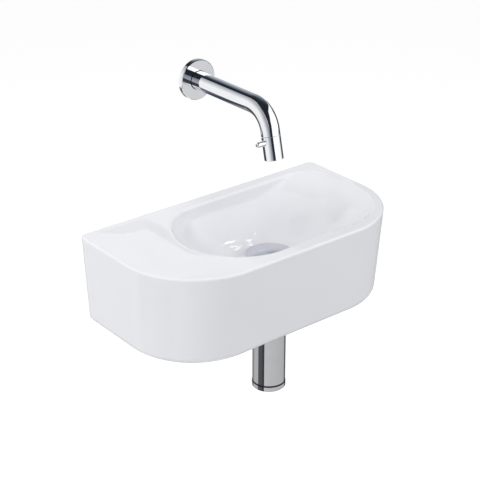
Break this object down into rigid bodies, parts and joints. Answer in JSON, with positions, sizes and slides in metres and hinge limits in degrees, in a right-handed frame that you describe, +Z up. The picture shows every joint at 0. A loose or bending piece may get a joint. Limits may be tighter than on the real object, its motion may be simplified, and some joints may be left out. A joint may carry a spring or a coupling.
{
  "type": "hand basin with wall tap",
  "caption": "Small wall-hung ceramic hand basin with an off-centre bowl and side shelf, a push waste with chrome tail, and a bent wall spout whose nozzle turns to open.",
  "frame": {"origin": "midpoint between the two wall bolts, on the wall plane behind the basin", "axes": "+X to the right as seen from the front, +Y into the wall, +Z up"},
  "size_m": [0.3598, 0.2598, 0.4161],
  "materials": {
    "glaze": "glossy white sanitary glaze",
    "chrome": "polished chrome plate",
    "satin_chrome": "chrome plate, a little duller",
    "brass": "turned brass",
    "black_rubber": "matte black rubber",
    "red_fibre": "pressed fibre",
    "zinc_steel": "bright zinc plate",
    "spring_steel": "drawn stainless wire",
    "disc_ceramic": "lapped alumina",
    "white_nylon": "natural nylon",
    "grey_acetal": "moulded acetal"
  },
  "bodies": {
    "basin_and_fittings": {"basin": "glaze", "wall_rosette": "chrome", "spout": "chrome", "tail_tube": "chrome", "outlet_nut": "chrome", "waste_body": "chrome", "inlet_nipple": "brass", "valve_body": "brass", "back_nut": "brass", "rosette_ring": "black_rubber", "body_ring": "black_rubber", "collar_ring": "black_rubber", "disc_seal": "black_rubber", "flange_gasket": "black_rubber", "under_gasket": "black_rubber", "tail_gasket": "black_rubber", "groove_ring": "black_rubber", "outlet_seal": "black_rubber", "nipple_washer": "red_fibre", "hanger_bolts": "zinc_steel", "bolt_washers": "zinc_steel", "bolt_nuts": "zinc_steel", "retaining_wire": "spring_steel", "click_spring": "spring_steel", "fixed_disc": "disc_ceramic", "bolt_bushes": "white_nylon", "slip_washer": "white_nylon", "click_cartridge": "grey_acetal"},
    "nozzle": {"nozzle_collar": "chrome", "lever_pin": "chrome", "turning_disc": "disc_ceramic", "disc_carrier": "grey_acetal", "aerator_seal": "black_rubber", "aerator_housing": "chrome", "aerator_insert": "grey_acetal"},
    "plug": {"plug_cap": "satin_chrome", "cap_seal": "black_rubber", "plunger": "white_nylon"}
  },
  "joints": [
    {"name": "nozzle_turn", "type": "hinge", "parent": "basin_and_fittings", "child": "nozzle", "pos_m": [-0.007, -0.13904, 0.2026], "axis": [0, 0.225, 0.9744], "range_deg": [0, 90]},
    {"name": "plug_click", "type": "slide", "parent": "basin_and_fittings", "child": "plug", "axis": [0, 0, 1], "range_m": [-0.0075, 0], "stiffness_N_per_m": 300, "springref_m": 0.006, "deforming": ["click_spring"]}
  ]
}
